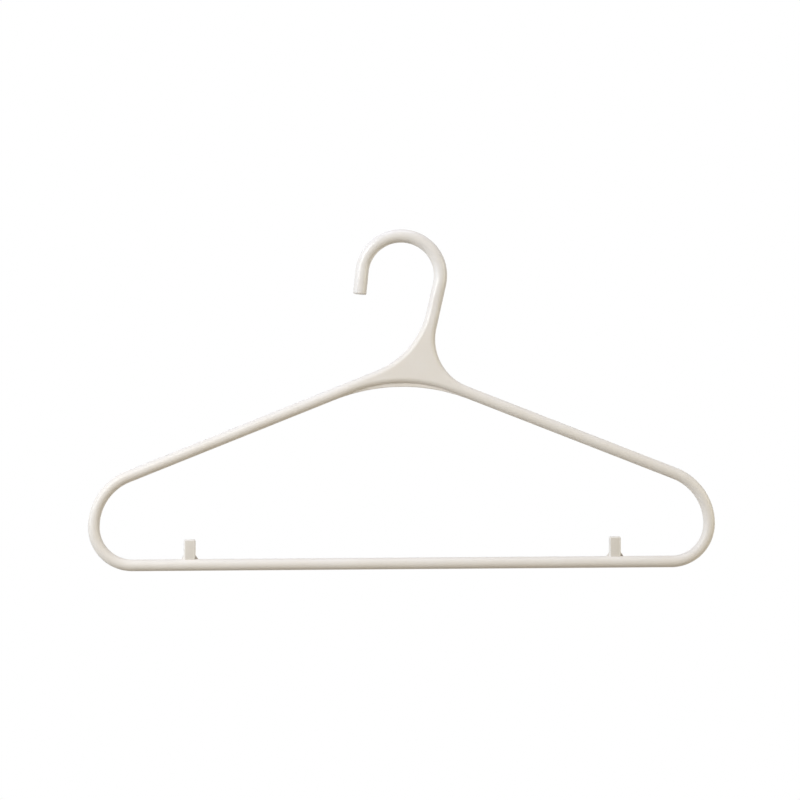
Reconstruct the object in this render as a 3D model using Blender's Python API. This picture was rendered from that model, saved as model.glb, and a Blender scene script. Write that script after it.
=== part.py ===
"""A wide laundry hanger of round rod, with an open hook, a flat neck web and two strap pegs.

The hanger hangs in the XZ plane, with its front towards -Y and the mouth of its hook
towards -X. The origin is the point where the hook sits on its rail. Units are metres.
"""

import math

import bmesh
import bpy
from mathutils import Matrix, Vector

# Frame rod: the arms, the end bends and the bottom bar
OVERALL_WIDTH = 0.450
ROD_DIAMETER = 0.0084
SHOULDER_SLOPE_DEG = 21.6
UPPER_BEND_RADIUS = 0.0385
LOWER_BEND_RADIUS = 0.0275

# Hook
SEAT_ABOVE_BAR = 0.2307
HOOK_ROD_DIAMETER = 0.0097
HOOK_INNER_RADIUS = 0.0235
HOOK_TIP_LENGTH = 0.0168
HOOK_TIP_LEAN_DEG = 6.0
HOOK_TIP_ROUNDING = 0.0008
STEM_LEAN_DEG = 13.0
STEM_LENGTH = 0.0190

# Neck web
NECK_REACH = 0.050
MOUTH_SIDE_FILLET = 0.060
BACK_SIDE_FILLET = 0.036
ARCH_RADIUS = 0.098
EDGE_LAND = 0.0001

# Throat rib under the arch
RIB_DEPTH = 0.0025
RIB_THICKNESS = 0.0026
RIB_EDGE_RADIUS = 0.0004

# Strap pegs on the bar
PEG_FROM_BEND = 0.0408
PEG_RISE = 0.0142
PEG_WIDTH = 0.0084
PEG_THICKNESS = 0.0038
PEG_ROOT_FLARE = 0.0020
PEG_ROOT_RISE = 0.0030
PEG_EDGE_RADIUS = 0.0012

# Clearance where two members meet face to face
MEMBER_GAP = 0.0003

# How finely round shapes are divided
ROD_SIDES = 24
STEP_DEG = 6.0
WEB_EDGE_SEGMENTS = 6
SMALL_EDGE_SEGMENTS = 2
SMOOTH_BELOW_DEG = 32.0

# Satin ivory polypropylene
IVORY = (0.791, 0.761, 0.694, 1.0)
SATIN_ROUGHNESS = 0.42

# Sizes that follow from the ones above
ROD_RADIUS = ROD_DIAMETER / 2
HOOK_ROD_RADIUS = HOOK_ROD_DIAMETER / 2
HOOK_BEND_RADIUS = HOOK_INNER_RADIUS + HOOK_ROD_RADIUS
BEND_REACH = OVERALL_WIDTH / 2 - ROD_RADIUS
BAR_REACH = BEND_REACH - LOWER_BEND_RADIUS
BAR_Z = -SEAT_ABOVE_BAR
QUARTER = math.radians(90)
SLOPE = math.radians(SHOULDER_SLOPE_DEG)
STEM_LEAN = math.radians(STEM_LEAN_DEG)
TIP_LEAN = math.radians(HOOK_TIP_LEAN_DEG)

RIGHT = 1
LEFT = -1


def clear_scene():
    for obj in list(bpy.data.objects):
        bpy.data.objects.remove(obj, do_unlink=True)


def ivory_plastic(name):
    material = bpy.data.materials.new(name + "_plastic")
    material.use_nodes = True
    material.diffuse_color = IVORY
    shader = material.node_tree.nodes["Principled BSDF"]
    shader.inputs["Base Color"].default_value = IVORY
    shader.inputs["Roughness"].default_value = SATIN_ROUGHNESS
    shader.inputs["Metallic"].default_value = 0.0
    return material


def finish(bm, name, parent, location=(0.0, 0.0, 0.0), heading=0.0):
    """Turns bm into a member at location, with its own +X turned to heading in the XZ plane."""
    bmesh.ops.recalc_face_normals(bm, faces=bm.faces)
    mesh = bpy.data.meshes.new(name)
    bm.to_mesh(mesh)
    bm.free()
    mesh.shade_smooth()
    mesh.set_sharp_from_angle(angle=math.radians(SMOOTH_BELOW_DEG))
    mesh.materials.append(ivory_plastic(name))
    member = bpy.data.objects.new(name, mesh)
    bpy.context.scene.collection.objects.link(member)
    member.parent = parent
    member.location = location
    member.rotation_euler = (0.0, -heading, 0.0)
    return member


def round_edges(bm, edges, radius, segments):
    bmesh.ops.bevel(
        bm,
        geom=edges,
        offset=radius,
        affect="EDGES",
        segments=segments,
        profile=0.5,
        material=-1,
    )


def along(heading):
    """The unit vector at this angle from +X towards +Z."""
    return Vector((math.cos(heading), 0.0, math.sin(heading)))


def on_side(point, side):
    """A point of the right half, or its mirror image on the left."""
    return Vector((point.x * side, point.y, point.z))


def heading_on_side(heading, side):
    return heading if side == RIGHT else math.pi - heading


def steps_for(angle):
    return max(1, math.ceil(math.degrees(abs(angle)) / STEP_DEG))


class Rod:
    """A round rod swept in the XZ plane. It starts at the origin and sets out along +X."""

    def __init__(self, radius):
        self.bm = bmesh.new()
        facing_x = Matrix.Rotation(QUARTER, 4, "Y")
        bmesh.ops.create_circle(self.bm, segments=ROD_SIDES, radius=radius, matrix=facing_x)
        self.first_ring = list(self.bm.edges)
        self.last_ring = self.first_ring
        self.at = Vector((0.0, 0.0, 0.0))
        self.heading = 0.0

    def last_verts(self):
        return list({vert for edge in self.last_ring for vert in edge.verts})

    def run(self, length):
        made = bmesh.ops.extrude_edge_only(self.bm, edges=self.last_ring)["geom"]
        made_edges = [item for item in made if isinstance(item, bmesh.types.BMEdge)]
        self.last_ring = [edge for edge in made_edges if len(edge.link_faces) == 1]
        step = along(self.heading) * length
        bmesh.ops.translate(self.bm, vec=step, verts=self.last_verts())
        self.at += step

    def turn(self, radius, angle):
        """Bends the rod by angle, which is positive from +X towards +Z."""
        sense = math.copysign(1.0, angle)
        centre = self.at + along(self.heading + sense * QUARTER) * radius
        made = bmesh.ops.spin(
            self.bm,
            geom=self.last_verts() + self.last_ring,
            cent=centre,
            axis=(0.0, -sense, 0.0),
            angle=abs(angle),
            steps=steps_for(angle),
        )["geom_last"]
        self.last_ring = [item for item in made if isinstance(item, bmesh.types.BMEdge)]
        self.heading += angle
        self.at = centre - along(self.heading + sense * QUARTER) * radius

    def thin(self, share):
        """Presses the last ring flatter from front to back."""
        bmesh.ops.scale(self.bm, vec=(1.0, share, 1.0), verts=self.last_verts())

    def close(self):
        bmesh.ops.contextual_create(self.bm, geom=self.first_ring)
        bmesh.ops.contextual_create(self.bm, geom=self.last_ring)
        return self.bm


def arm_end():
    """Where the right arm meets its end bend, on their centreline."""
    bend_centre = Vector((BEND_REACH - UPPER_BEND_RADIUS, 0.0, BAR_Z + LOWER_BEND_RADIUS))
    return bend_centre + along(QUARTER - SLOPE) * UPPER_BEND_RADIUS


def arm_start():
    """Where the right arm leaves the neck, on their centreline."""
    end = arm_end()
    return Vector((NECK_REACH, 0.0, end.z + (end.x - NECK_REACH) * math.tan(SLOPE)))


def hook_centre():
    return Vector((0.0, 0.0, -HOOK_INNER_RADIUS))


def stem_end():
    """Where the stem of the hook meets the neck, on their centreline."""
    bend_end = hook_centre() + along(-STEM_LEAN) * HOOK_BEND_RADIUS
    return bend_end + along(-STEM_LEAN - QUARTER) * STEM_LENGTH


def make_hook(parent):
    heading = QUARTER - TIP_LEAN
    bend_start = hook_centre() + along(math.pi - TIP_LEAN) * HOOK_BEND_RADIUS
    rod = Rod(HOOK_ROD_RADIUS)
    rod.run(HOOK_TIP_LENGTH)
    rod.turn(HOOK_BEND_RADIUS, TIP_LEAN - STEM_LEAN - math.pi)
    rod.run(STEM_LENGTH - MEMBER_GAP)
    rod.thin(ROD_DIAMETER / HOOK_ROD_DIAMETER)
    bm = rod.close()
    round_edges(bm, rod.first_ring, HOOK_TIP_ROUNDING, SMALL_EDGE_SEGMENTS)
    return finish(bm, "hook", parent, bend_start - along(heading) * HOOK_TIP_LENGTH, heading)


def make_arm(name, parent, side):
    heading = heading_on_side(-SLOPE, side)
    rod = Rod(ROD_RADIUS)
    rod.run((arm_end() - arm_start()).length - 2 * MEMBER_GAP)
    start = on_side(arm_start(), side) + along(heading) * MEMBER_GAP
    return finish(rod.close(), name, parent, start, heading)


def make_end_bend(name, parent, side):
    rod = Rod(ROD_RADIUS)
    rod.turn(UPPER_BEND_RADIUS, -side * (QUARTER - SLOPE))
    rod.turn(LOWER_BEND_RADIUS, -side * QUARTER)
    start = on_side(arm_end(), side)
    return finish(rod.close(), name, parent, start, heading_on_side(-SLOPE, side))


def make_bottom_bar(parent):
    reach = BAR_REACH - MEMBER_GAP
    rod = Rod(ROD_RADIUS)
    rod.run(2 * reach)
    return finish(rod.close(), "bottom_bar", parent, (-reach, 0.0, BAR_Z))


def touching_centre(edge_a, edge_b, radius):
    """The centre of the circle that touches two straight edges from outside.

    An edge is a point on it and the heading of its outward normal.
    """
    (point_a, heading_a), (point_b, heading_b) = edge_a, edge_b
    out_a, out_b = along(heading_a), along(heading_b)
    normals = Matrix(((out_a.x, out_a.z), (out_b.x, out_b.z)))
    reach = Vector((point_a.dot(out_a) + radius, point_b.dot(out_b) + radius))
    x, z = normals.inverted() @ reach
    return Vector((x, 0.0, z))


def fillet_points(edge_a, edge_b, radius):
    """Points round the hollow fillet that leads from edge_a into edge_b."""
    centre = touching_centre(edge_a, edge_b, radius)
    start, sweep = edge_a[1], edge_b[1] - edge_a[1]
    steps = steps_for(sweep)
    return [centre - along(start + sweep * i / steps) * radius for i in range(steps + 1)]


def arm_top(side):
    heading = heading_on_side(QUARTER - SLOPE, side)
    return on_side(arm_start(), side) + along(heading) * ROD_RADIUS, heading


def arm_underside(side):
    heading = -QUARTER - side * SLOPE
    return on_side(arm_start(), side) + along(heading) * ROD_RADIUS, heading


def stem_side(heading):
    return stem_end() + along(heading) * HOOK_ROD_RADIUS, heading


def extrude_outline(points, thickness):
    """A plate of this outline, centred on the XZ plane."""
    bm = bmesh.new()
    front = [bm.verts.new((point.x, -thickness / 2, point.z)) for point in points]
    face = bm.faces.new(front)
    made = bmesh.ops.extrude_face_region(bm, geom=[face])["geom"]
    back = [item for item in made if isinstance(item, bmesh.types.BMVert)]
    bmesh.ops.translate(bm, vec=(0.0, thickness, 0.0), verts=back)
    return bm


def runs_lengthwise(edge):
    """Whether an edge of a plate lies in its front or back face."""
    return edge.verts[0].co.y * edge.verts[1].co.y > 0


def flat_distance(place, point):
    """How far apart two points are, seen from the front."""
    return math.hypot(place.x - point.x, place.z - point.z)


def nearest_index(vert, points):
    return min(range(len(points)), key=lambda i: flat_distance(vert.co, points[i]))


def crosses_an_end(edge, ends):
    middle = (edge.verts[0].co + edge.verts[1].co) / 2
    return min(flat_distance(middle, end) for end in ends) < ROD_RADIUS / 2


def make_neck(parent):
    back_side, mouth_side = stem_side(-STEM_LEAN), stem_side(math.pi - STEM_LEAN)
    points = [arm_underside(RIGHT)[0], arm_top(RIGHT)[0]]
    points += fillet_points(arm_top(RIGHT), back_side, BACK_SIDE_FILLET)
    points += [back_side[0], mouth_side[0]]
    points += fillet_points(mouth_side, arm_top(LEFT), MOUTH_SIDE_FILLET)
    points += [arm_top(LEFT)[0], arm_underside(LEFT)[0]]
    points += fillet_points(arm_underside(LEFT), arm_underside(RIGHT), ARCH_RADIUS)
    bm = extrude_outline(points, ROD_DIAMETER)
    ends = [stem_end(), arm_start(), on_side(arm_start(), LEFT)]
    rounded = [
        edge
        for edge in bm.edges
        if runs_lengthwise(edge) and not crosses_an_end(edge, ends)
    ]
    round_edges(bm, rounded, (ROD_DIAMETER - EDGE_LAND) / 2, WEB_EDGE_SEGMENTS)
    return finish(bm, "neck", parent)


def make_throat_rib(parent):
    """A thin plate between the arch and a flatter arc that also leads to the arms' undersides."""
    arch = touching_centre(arm_underside(LEFT), arm_underside(RIGHT), ARCH_RADIUS)
    arch_crown = arch.z + ARCH_RADIUS
    radius = ARCH_RADIUS + RIB_DEPTH / (1 / math.cos(SLOPE) - 1)
    centre = Vector((0.0, 0.0, arch_crown - RIB_DEPTH - radius))
    seat_radius = ARCH_RADIUS - MEMBER_GAP
    steps = steps_for(2 * SLOPE)
    top = [
        arch + along(QUARTER + SLOPE - 2 * SLOPE * i / steps) * seat_radius
        for i in range(steps + 1)
    ]
    spread = math.asin(top[-1].x / radius)
    bottom = [
        centre + along(QUARTER - spread + 2 * spread * i / steps) * radius
        for i in range(steps + 1)
    ]
    bm = extrude_outline(top + bottom, RIB_THICKNESS)
    free_points = {vert for vert in bm.verts if nearest_index(vert, top + bottom) >= len(top)}
    free_edges = [
        edge
        for edge in bm.edges
        if runs_lengthwise(edge) and free_points.issuperset(edge.verts)
    ]
    round_edges(bm, free_edges, RIB_EDGE_RADIUS, SMALL_EDGE_SEGMENTS)
    return finish(bm, "throat_rib", parent)


def make_saddle_cutter(parent):
    """A round bar a clearance larger than the bottom bar, which hollows the feet of the pegs."""
    rod = Rod(ROD_RADIUS + MEMBER_GAP)
    rod.run(OVERALL_WIDTH)
    cutter = finish(rod.close(), "peg_saddle_cutter", parent, (-OVERALL_WIDTH / 2, 0.0, BAR_Z))
    cutter.hide_render = True
    cutter.display_type = "WIRE"
    return cutter


def make_strap_peg(name, parent, side, cutter):
    """An upright post that widens at its root, with a foot shaped to the bar."""
    root_width = PEG_WIDTH + 2 * PEG_ROOT_FLARE
    bm = bmesh.new()
    sized = Matrix.Diagonal((root_width, PEG_THICKNESS, ROD_RADIUS, 1.0))
    raised = Matrix.Translation((0.0, 0.0, ROD_RADIUS / 2))
    bmesh.ops.create_cube(bm, size=1.0, matrix=raised @ sized)
    top = max(bm.faces, key=lambda face: face.calc_center_median().z)
    levels = ((PEG_ROOT_RISE, PEG_WIDTH / root_width), (PEG_RISE - PEG_ROOT_RISE, 1.0))
    for rise, width_share in levels:
        top = bmesh.ops.extrude_discrete_faces(bm, faces=[top])["faces"][0]
        bmesh.ops.translate(bm, vec=(0.0, 0.0, rise), verts=top.verts)
        bmesh.ops.scale(bm, vec=(width_share, 1.0, 1.0), verts=top.verts)
    corners = [
        edge
        for edge in bm.edges
        if edge.calc_face_angle() > QUARTER / 2 and any(vert.co.z > 0.0 for vert in edge.verts)
    ]
    round_edges(bm, corners, PEG_EDGE_RADIUS, SMALL_EDGE_SEGMENTS)
    peg_x = side * (BAR_REACH - PEG_FROM_BEND)
    peg = finish(bm, name, parent, (peg_x, 0.0, BAR_Z))
    saddle = peg.modifiers.new("saddle", "BOOLEAN")
    saddle.operation = "DIFFERENCE"
    saddle.solver = "EXACT"
    saddle.object = cutter
    return peg


def build():
    clear_scene()
    hanger = bpy.data.objects.new("hanger", None)
    bpy.context.scene.collection.objects.link(hanger)
    make_hook(hanger)
    make_neck(hanger)
    make_throat_rib(hanger)
    cutter = make_saddle_cutter(hanger)
    make_bottom_bar(hanger)
    for word, side in (("left", LEFT), ("right", RIGHT)):
        make_arm(word + "_arm", hanger, side)
        make_end_bend(word + "_end_bend", hanger, side)
        make_strap_peg(word + "_strap_peg", hanger, side, cutter)


build()
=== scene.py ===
# %% [markdown]
# # A wide laundry hanger
#
# The hanger is one moulding of ivory polypropylene: a frame of round rod, a thicker open hook
# that grows out of a flat neck web, a thin rib under the arch of the web and two short pegs on
# the bar. The fixed frame holds its solids at their real size. This lesson gives each of them
# the skin that the mould gives the real one, then a finish, a plain studio and a camera.
#
# Lengths are metres. The hanger hangs in the XZ plane, its front faces -Y, the mouth of its hook
# faces -X, and the origin is the point where the hook sits on its rail.

# %% Load the fixed frame
import math

import bmesh
import bpy
from mathutils import Matrix, Vector


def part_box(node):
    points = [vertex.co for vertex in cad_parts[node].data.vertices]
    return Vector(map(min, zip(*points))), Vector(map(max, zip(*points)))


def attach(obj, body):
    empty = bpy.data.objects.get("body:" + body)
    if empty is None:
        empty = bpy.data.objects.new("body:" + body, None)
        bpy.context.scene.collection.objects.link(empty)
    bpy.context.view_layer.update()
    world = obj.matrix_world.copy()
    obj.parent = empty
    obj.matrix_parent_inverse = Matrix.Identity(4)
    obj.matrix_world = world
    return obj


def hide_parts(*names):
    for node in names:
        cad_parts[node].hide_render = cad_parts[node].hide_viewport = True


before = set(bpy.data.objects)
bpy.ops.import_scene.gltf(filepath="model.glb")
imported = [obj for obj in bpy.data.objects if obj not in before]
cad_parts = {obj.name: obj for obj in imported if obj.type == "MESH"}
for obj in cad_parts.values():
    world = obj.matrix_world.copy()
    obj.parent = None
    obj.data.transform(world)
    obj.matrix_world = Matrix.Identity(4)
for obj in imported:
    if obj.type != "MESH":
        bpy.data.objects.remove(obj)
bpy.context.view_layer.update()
print("solids:", ", ".join(sorted(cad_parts)))

# %% [markdown]
# ## Sizes
#
# Whatever the frame can tell is read from it: where the bar lies, how thick the rods are, how
# far the ends reach. The radii and angles of the bends can't be read from a box, so they are
# repeated here as they were drawn.
#
# The skin lies a hair inside the solids. That leaves room for the seam, the low ridge that the
# two halves of the mould leave all round the hanger in its middle plane.

# %% Sizes read from the frame
QUARTER = math.radians(90)
SKIN_DEPTH = 0.00006

bar_low, bar_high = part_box("bottom_bar")
hook_low, hook_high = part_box("hook")
end_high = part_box("right_end_bend")[1]
rib_low, rib_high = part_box("throat_rib")
peg_low, peg_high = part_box("right_strap_peg")

ROD_RADIUS = (bar_high.y - bar_low.y) / 2 - SKIN_DEPTH
HOOK_ROD_RADIUS = (hook_high.y - hook_low.y) / 2 - SKIN_DEPTH
BEND_REACH = end_high.x - SKIN_DEPTH - ROD_RADIUS
BAR_Z = (bar_low.z + bar_high.z) / 2
print(f"rod {2 * ROD_RADIUS:.5f}, hook rod {2 * HOOK_ROD_RADIUS:.5f}, bar at {BAR_Z:.4f}")

# %% Radii and angles of the bends
SLOPE = math.radians(21.6)
UPPER_BEND_RADIUS = 0.0385
LOWER_BEND_RADIUS = 0.0275
NECK_REACH = 0.050

HOOK_INNER_RADIUS = 0.0235
HOOK_TIP_LENGTH = 0.0168
TIP_LEAN = math.radians(6.0)
STEM_LEAN = math.radians(13.0)
STEM_LENGTH = 0.0190

BAR_REACH = BEND_REACH - LOWER_BEND_RADIUS
HOOK_BEND_RADIUS = HOOK_INNER_RADIUS + SKIN_DEPTH + HOOK_ROD_RADIUS
print(f"the bar runs {BAR_REACH:.4f} to each side, the ends reach {BEND_REACH:.4f}")

# %% [markdown]
# ## Where the members meet
#
# The whole outline hangs together from a few centrelines. An arm is tangent to the round of its
# end, so its end follows from the centre of that round, and its start from the slope. The stem
# of the hook follows from the bend of the hook in the same way. Working these out once keeps
# every piece on the same line, so that the seams between them can't be seen.

# %% Points on the centrelines
RIGHT = 1
LEFT = -1


def along(heading):
    """The unit vector at this angle from +X towards +Z."""
    return Vector((math.cos(heading), 0.0, math.sin(heading)))


def on_side(point, side):
    """A point of the right half, or its mirror image on the left."""
    return Vector((point.x * side, point.y, point.z))


def heading_on_side(heading, side):
    return heading if side == RIGHT else math.pi - heading


upper_bend_centre = Vector((BEND_REACH - UPPER_BEND_RADIUS, 0.0, BAR_Z + LOWER_BEND_RADIUS))
ARM_END = upper_bend_centre + along(QUARTER - SLOPE) * UPPER_BEND_RADIUS
arm_rise = (ARM_END.x - NECK_REACH) * math.tan(SLOPE)
ARM_START = Vector((NECK_REACH, 0.0, ARM_END.z + arm_rise))

HOOK_CENTRE = Vector((0.0, 0.0, -HOOK_INNER_RADIUS))
STEM_START = HOOK_CENTRE + along(-STEM_LEAN) * HOOK_BEND_RADIUS
STEM_END = STEM_START + along(-STEM_LEAN - QUARTER) * STEM_LENGTH
print("arm from", ARM_START.to_tuple(4), "to", ARM_END.to_tuple(4))
print("stem ends at", STEM_END.to_tuple(4))

# %% [markdown]
# ## From a bmesh to a piece
#
# Every piece goes the same way into the scene: its normals are turned outwards, its curved
# faces shaded smooth while real corners stay sharp, the solid that it stands for is hidden,
# and it rides on the root body. The place of a piece is in its mesh, so its object stays at the
# origin, unturned. That is what lets one pattern run through all of them without a break.

# %% Finish a piece
SHARP_FROM = math.radians(24.0)


def finish_piece(bm, name, node):
    """Turns bm into the piece that stands for a node, and frees it."""
    bmesh.ops.recalc_face_normals(bm, faces=bm.faces)
    mesh = bpy.data.meshes.new(name)
    bm.to_mesh(mesh)
    bm.free()
    mesh.shade_smooth()
    mesh.set_sharp_from_angle(angle=SHARP_FROM)
    piece = bpy.data.objects.new(name, mesh)
    bpy.context.scene.collection.objects.link(piece)
    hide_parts(node)
    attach(piece, "root")
    return piece


def report(piece):
    """Prints how many faces a piece has and how big it is."""
    sides = " x ".join(f"{side * 1000:.1f}" for side in piece.dimensions)
    print(f"{piece.name}: {len(piece.data.polygons)} faces, {sides} mm")


# %% [markdown]
# ## The section of the rod
#
# A moulded rod isn't a perfect circle. Each half of the mould is milled a touch flat where it
# meets the other, which leaves a narrow strip along the seam. A square whose corners are
# rounded almost to the middle of its sides gives such a section: four quarter rounds with a
# narrow flat between them. The rounded edges of the neck web have the same section, so rod and
# web meet without a step.

# %% Draw the section
SEAM_WIDTH = 0.00024
QUARTER_SEGMENTS = 20


def round_off(bm, geom, radius, segments, affect="EDGES"):
    """Rounds edges or corners of bm with this many narrow faces."""
    bmesh.ops.bevel(
        bm,
        geom=geom,
        offset=radius,
        affect=affect,
        segments=segments,
        profile=0.5,
        material=-1,
    )


def section_of_rod(radius, place):
    """A ring of edges in the YZ plane of place: a square with its corners rounded."""
    bm = bmesh.new()
    facing_x = Matrix.Rotation(QUARTER, 4, "Y")
    bmesh.ops.create_grid(bm, x_segments=1, y_segments=1, size=radius, matrix=place @ facing_x)
    round_off(bm, bm.verts[:], radius - SEAM_WIDTH / 2, QUARTER_SEGMENTS, affect="VERTICES")
    bmesh.ops.delete(bm, geom=bm.faces[:], context="FACES_ONLY")
    return bm


# %% [markdown]
# ## Sweeping the rod
#
# A curve with a bevel would bend a rod too, but its section can't change on the way and its
# ends can't be fitted to a flat web. Here the section is moved as a hand would move it: run
# extrudes it straight on, and turn spins it about the centre of a bend. A tangent run after a
# bend needs no fitting, because the sweep remembers where it is and where it is heading.

# %% Sweep a section
STEP = math.radians(1.5)


def steps_for(angle):
    return max(1, math.ceil(abs(angle) / STEP))


def only(kind, items):
    return [item for item in items if isinstance(item, kind)]


class Rod:
    """A round rod swept in the XZ plane from a start, setting out along a heading."""

    def __init__(self, radius, start, heading):
        self.at = Vector(start)
        self.heading = heading
        place = Matrix.Translation(self.at) @ Matrix.Rotation(-heading, 4, "Y")
        self.bm = section_of_rod(radius, place)
        self.first_ring = list(self.bm.edges)
        self.last_ring = self.first_ring

    def last_verts(self):
        return list({vert for edge in self.last_ring for vert in edge.verts})

    def run(self, length):
        made = bmesh.ops.extrude_edge_only(self.bm, edges=self.last_ring)["geom"]
        self.last_ring = [edge for edge in only(bmesh.types.BMEdge, made) if edge.is_boundary]
        step = along(self.heading) * length
        bmesh.ops.translate(self.bm, vec=step, verts=self.last_verts())
        self.at += step

    def turn(self, radius, angle):
        """Bends the rod by angle, which is positive from +X towards +Z."""
        sense = math.copysign(1.0, angle)
        centre = self.at + along(self.heading + sense * QUARTER) * radius
        made = bmesh.ops.spin(
            self.bm,
            geom=self.last_verts() + self.last_ring,
            cent=centre,
            axis=(0.0, -sense, 0.0),
            angle=abs(angle),
            steps=steps_for(angle),
        )["geom_last"]
        self.last_ring = only(bmesh.types.BMEdge, made)
        self.heading += angle
        self.at = centre - along(self.heading + sense * QUARTER) * radius


# %% [markdown]
# ## The seam
#
# Where the two halves of the mould close, molten plastic creeps a few hundredths of a
# millimetre into the joint. On the hanger this is a fine raised line that can be felt with a
# fingernail. It could be painted on with a bump, but a ridge in the mesh catches the light at
# its true place. The strip along the seam is picked by its place in the middle plane and
# inset, which lifts it. Open ends let the line run through to the next member.

# %% Raise the seam and close the ends
SEAM_RISE = 0.00003


def raise_seam(bm):
    """Lifts the strip in the middle plane. The ends of bm are still open."""
    bmesh.ops.recalc_face_normals(bm, faces=bm.faces)
    strip = [face for face in bm.faces if all(abs(vert.co.y) < SEAM_WIDTH for vert in face.verts)]
    bmesh.ops.inset_region(
        bm,
        faces=strip,
        thickness=SEAM_WIDTH / 4,
        depth=SEAM_RISE,
        use_boundary=False,
        use_even_offset=True,
    )
    return bm


def close_ends(bm):
    open_edges = [edge for edge in bm.edges if edge.is_boundary]
    bmesh.ops.holes_fill(bm, edges=open_edges, sides=0)
    return bm


# %% [markdown]
# ## The bottom bar
#
# The straight rod that trousers and towels hang over. It is the plainest member: one run of
# the section between the two end bends.

# %% Make the bottom bar
bar_rod = Rod(ROD_RADIUS, (-BAR_REACH, 0.0, BAR_Z), 0.0)
bar_rod.run(2 * BAR_REACH)
bottom_bar = finish_piece(close_ends(raise_seam(bar_rod.bm)), "bar_skin", "bottom_bar")
report(bottom_bar)

# %% [markdown]
# ## The arms and the end bends
#
# The arms slope down from the neck, and each end is two tangent rounds: a wide one at the
# shoulder, so that a garment gets no dent, and a tighter one below. The left side is made by
# the same function as the right one. A mirrored copy would do as well, but its faces would
# have to be turned outwards again.


# %% Make the arms and the end bends
def make_arm(side):
    rod = Rod(ROD_RADIUS, on_side(ARM_START, side), heading_on_side(-SLOPE, side))
    rod.run((ARM_END - ARM_START).length)
    return close_ends(raise_seam(rod.bm))


def make_end_bend(side):
    rod = Rod(ROD_RADIUS, on_side(ARM_END, side), heading_on_side(-SLOPE, side))
    rod.turn(UPPER_BEND_RADIUS, -side * (QUARTER - SLOPE))
    rod.turn(LOWER_BEND_RADIUS, -side * QUARTER)
    return close_ends(raise_seam(rod.bm))


SIDES = (("left", LEFT), ("right", RIGHT))
arms = [finish_piece(make_arm(side), word + "_arm_skin", word + "_arm") for word, side in SIDES]
end_bends = [
    finish_piece(make_end_bend(side), word + "_end_skin", word + "_end_bend")
    for word, side in SIDES
]
for piece in arms + end_bends:
    report(piece)

# %% [markdown]
# ## The hook
#
# The hook is thicker than the frame, because it carries everything. Its tip leans back a
# little, which lets a rail slip in, and is cut flat with a small rounding. Down the stem it
# has to become the edge of the web: as wide as before, but as thin as the frame, with a flat
# in front and behind. So after each short run the section is scaled about its middle towards
# the rod of the frame, and its two halves are drawn apart to keep the width. The share
# follows a smooth step, so neither end of the change shows.

# %% Flatten the stem
STEM_STEPS = 16


def smooth_share(share):
    return share * share * (3 - 2 * share)


def draw_section_apart(rod, from_share, to_share):
    """Takes the last ring of the stem from one share of the change to a later one."""
    slimming = HOOK_ROD_RADIUS - ROD_RADIUS
    from_radius = HOOK_ROD_RADIUS - slimming * from_share
    to_radius = HOOK_ROD_RADIUS - slimming * to_share
    shrink = to_radius / from_radius
    centred = Matrix.Translation(-rod.at)
    across = along(rod.heading + QUARTER)
    verts = rod.last_verts()
    for sign in (1, -1):
        half = [vert for vert in verts if (vert.co - rod.at).dot(across) * sign > 0]
        spread = across * sign * slimming
        bmesh.ops.translate(rod.bm, vec=-spread * from_share, verts=half)
        bmesh.ops.scale(rod.bm, vec=(shrink,) * 3, space=centred, verts=half)
        bmesh.ops.translate(rod.bm, vec=spread * to_share, verts=half)


# %% Make the hook
TIP_ROUNDING = 0.0009
TIP_SEGMENTS = 6


def make_hook():
    heading = QUARTER - TIP_LEAN
    bend_start = HOOK_CENTRE + along(math.pi - TIP_LEAN) * HOOK_BEND_RADIUS
    rod = Rod(HOOK_ROD_RADIUS, bend_start - along(heading) * HOOK_TIP_LENGTH, heading)
    rod.run(HOOK_TIP_LENGTH)
    rod.turn(HOOK_BEND_RADIUS, TIP_LEAN - STEM_LEAN - math.pi)
    for step in range(STEM_STEPS):
        rod.run(STEM_LENGTH / STEM_STEPS)
        shares = (smooth_share(step / STEM_STEPS), smooth_share((step + 1) / STEM_STEPS))
        draw_section_apart(rod, *shares)
    bmesh.ops.contextual_create(rod.bm, geom=rod.first_ring)
    round_off(rod.bm, rod.first_ring, TIP_ROUNDING, TIP_SEGMENTS)
    return close_ends(raise_seam(rod.bm))


hook = finish_piece(make_hook(), "hook_skin", "hook")
report(hook)

# %% [markdown]
# ## Drawing an outline
#
# The neck web and the rib are plates, so they start as an outline. A pen draws it: a straight
# stroke extrudes the last point, and an arc spins it about its centre. The centre of a hollow
# fillet is where two lines cross, each a radius away from one of the edges that it touches.

# %% Draw with a pen
class Pen:
    """Draws an outline in the XZ plane, then fills it and gives it a thickness."""

    def __init__(self, start):
        self.bm = bmesh.new()
        self.first = self.bm.verts.new(start)
        self.last = self.first

    def line_to(self, point):
        self.last = bmesh.ops.extrude_vert_indiv(self.bm, verts=[self.last])["verts"][0]
        self.last.co = point

    def arc(self, centre, sweep):
        """Carries the last point round centre by sweep, positive from +X towards +Z."""
        made = bmesh.ops.spin(
            self.bm,
            geom=[self.last],
            cent=centre,
            axis=(0.0, -math.copysign(1.0, sweep), 0.0),
            angle=abs(sweep),
            steps=steps_for(sweep),
        )["geom_last"]
        self.last = only(bmesh.types.BMVert, made)[0]

    def plate(self, thickness):
        """The filled outline as a plate, centred on the XZ plane."""
        bmesh.ops.contextual_create(self.bm, geom=[self.last, self.first])
        bmesh.ops.contextual_create(self.bm, geom=self.bm.edges[:])
        bmesh.ops.translate(self.bm, vec=(0.0, -thickness / 2, 0.0), verts=self.bm.verts)
        made = bmesh.ops.extrude_face_region(self.bm, geom=self.bm.faces[:])["geom"]
        back = only(bmesh.types.BMVert, made)
        bmesh.ops.translate(self.bm, vec=(0.0, thickness, 0.0), verts=back)
        return self.bm


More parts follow.
